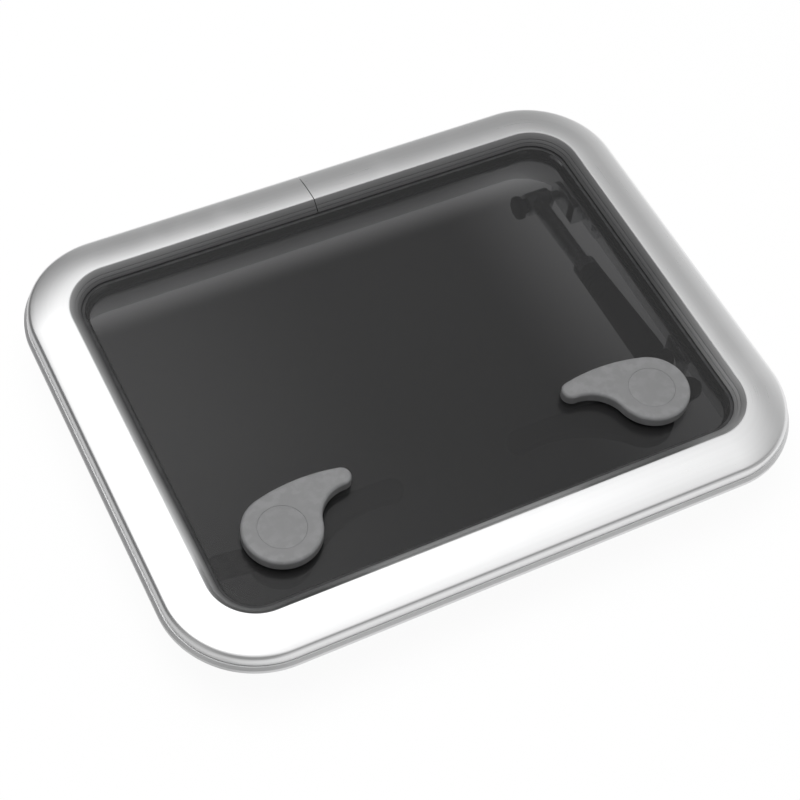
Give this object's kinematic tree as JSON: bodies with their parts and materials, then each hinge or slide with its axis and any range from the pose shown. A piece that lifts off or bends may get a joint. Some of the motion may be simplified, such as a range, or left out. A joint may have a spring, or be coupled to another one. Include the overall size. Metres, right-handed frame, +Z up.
{
  "type": "deck hatch",
  "caption": "Low rectangular deck hatch: rounded aluminium frame, hinged lid with a sunk smoked pane, drop-shaped turning handles with dogs and inner levers, and a telescopic stay.",
  "frame": {"origin": "centre of the hatch on the deck plane, the underside of the base flange", "axes": "+X to the right seen from the front (handle) side, +Y to the hinges at the back, +Z up out of the deck"},
  "size_m": [0.43, 0.338, 0.0551],
  "materials": {
    "frame_aluminium": "satin anodised",
    "bare_aluminium": "milled, plain",
    "steel": "stainless, fine brushed",
    "smoked_pane": "smoked, polished",
    "black_rubber": "matt",
    "handle_grey": "fine matt moulded",
    "black_plastic": "fine matt moulded"
  },
  "bodies": {
    "base": {"base_frame": "frame_aluminium", "hinge_base_leaf_left": "steel", "hinge_base_leaf_right": "steel", "hinge_base_screws": "steel", "hinge_pin_left": "steel", "hinge_pin_right": "steel", "keeper_left": "bare_aluminium", "keeper_right": "bare_aluminium", "keeper_screws": "steel", "stay_base_bracket": "steel", "stay_base_pin": "steel", "stay_pin_knob": "black_plastic", "stay_base_screws": "steel"},
    "lid": {"lid_frame": "frame_aluminium", "joint_key": "bare_aluminium", "joint_key_rivets": "steel", "pane": "smoked_pane", "pane_gasket": "black_rubber", "lid_seal": "black_rubber", "hinge_lid_leaf_left": "steel", "hinge_lid_leaf_right": "steel", "hinge_lid_screws": "steel", "handle_bush_left": "black_plastic", "handle_bush_right": "black_plastic", "bush_nut_left": "black_plastic", "bush_nut_right": "black_plastic", "stay_lid_bracket": "steel", "stay_lid_screws": "steel"},
    "handle_left": {"outer_handle_left": "handle_grey", "handle_cap_left": "handle_grey", "handle_screw_left": "steel", "spindle_left": "steel", "spindle_seal_left": "black_rubber", "thrust_washer_left": "black_plastic", "locking_dog_left": "steel", "inner_lever_left": "black_plastic", "lever_screw_left": "steel"},
    "handle_right": {"outer_handle_right": "handle_grey", "handle_cap_right": "handle_grey", "handle_screw_right": "steel", "spindle_right": "steel", "spindle_seal_right": "black_rubber", "thrust_washer_right": "black_plastic", "locking_dog_right": "steel", "inner_lever_right": "black_plastic", "lever_screw_right": "steel"},
    "stay_arm": {"stay_rod": "steel"},
    "stay_slider": {"stay_tube": "black_plastic", "stay_collar": "steel", "stay_stud": "steel", "stay_stud_clip": "steel"}
  },
  "joints": [
    {"name": "lid_hinge", "type": "hinge", "parent": "base", "child": "lid", "pos_m": [0, 0.1666, 0.0023], "axis": [-1, 0, 0], "range_deg": [0, 60]},
    {"name": "handle_left_turn", "type": "hinge", "parent": "lid", "child": "handle_left", "pos_m": [-0.1285, -0.0905, 0.0091], "axis": [0, 0, 1], "range_deg": [0, 85]},
    {"name": "handle_right_turn", "type": "hinge", "parent": "lid", "child": "handle_right", "pos_m": [0.1285, -0.0905, 0.0091], "axis": [0, 0, -1], "range_deg": [0, 85]},
    {"name": "stay_swing", "type": "hinge", "parent": "base", "child": "stay_arm", "pos_m": [0.159, 0.106, -0.024], "axis": [-1, 0, 0], "range_deg": [0, 69.39]},
    {"name": "stay_slide", "type": "slide", "parent": "stay_arm", "child": "stay_slider", "axis": [0, -0.9981, 0.0616], "range_m": [0, 0.05835]}
  ],
  "couplings": [
    {"joint": "stay_swing", "follows": "lid_hinge", "ratio": 1.1564},
    {"joint": "stay_slide", "follows": "lid_hinge", "m_per_rad": 0.055723}
  ]
}
